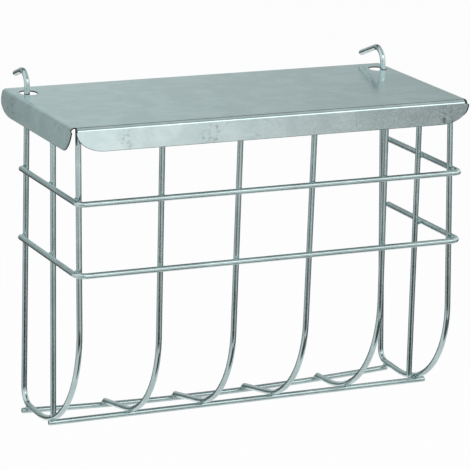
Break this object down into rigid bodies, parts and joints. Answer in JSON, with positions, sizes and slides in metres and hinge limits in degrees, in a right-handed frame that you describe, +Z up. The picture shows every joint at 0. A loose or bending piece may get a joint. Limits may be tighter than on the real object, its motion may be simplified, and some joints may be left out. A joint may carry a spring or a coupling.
{
  "type": "hay rack",
  "caption": "Wire hay rack for a small-pet cage: welded J-shaped ribs, two bands and end frames with hooks, under a folded sheet lid that lifts at the front",
  "frame": {"origin": "middle of the hang line: where a level wire of the cage lies under both hooks", "axes": "+Z up, +X along the rack from its left end to its right end seen from the front, +Y to the rear, towards the cage wall that carries it"},
  "size_m": [0.2558, 0.1301, 0.2116],
  "materials": {
    "wire_steel": "zinc-plated round wire, satin with a soft shine",
    "sheet_steel": "zinc-plated sheet, smooth and slightly mottled"
  },
  "bodies": {
    "cage": {"end_frame_left": "wire_steel", "end_frame_right": "wire_steel", "side_upright_left": "wire_steel", "side_upright_right": "wire_steel", "front_rib_1": "wire_steel", "front_rib_2": "wire_steel", "front_rib_3": "wire_steel", "front_rib_4": "wire_steel", "upper_band": "wire_steel", "lower_band": "wire_steel", "front_bottom_rail": "wire_steel", "rear_bottom_rail": "wire_steel"},
    "lid": {"lid": "sheet_steel"}
  },
  "joints": [
    {"name": "lid_hinge", "type": "hinge", "parent": "cage", "child": "lid", "pos_m": [0, -0.0105, -0.0113], "axis": [-1, 0, 0], "range_deg": [0, 60]}
  ]
}
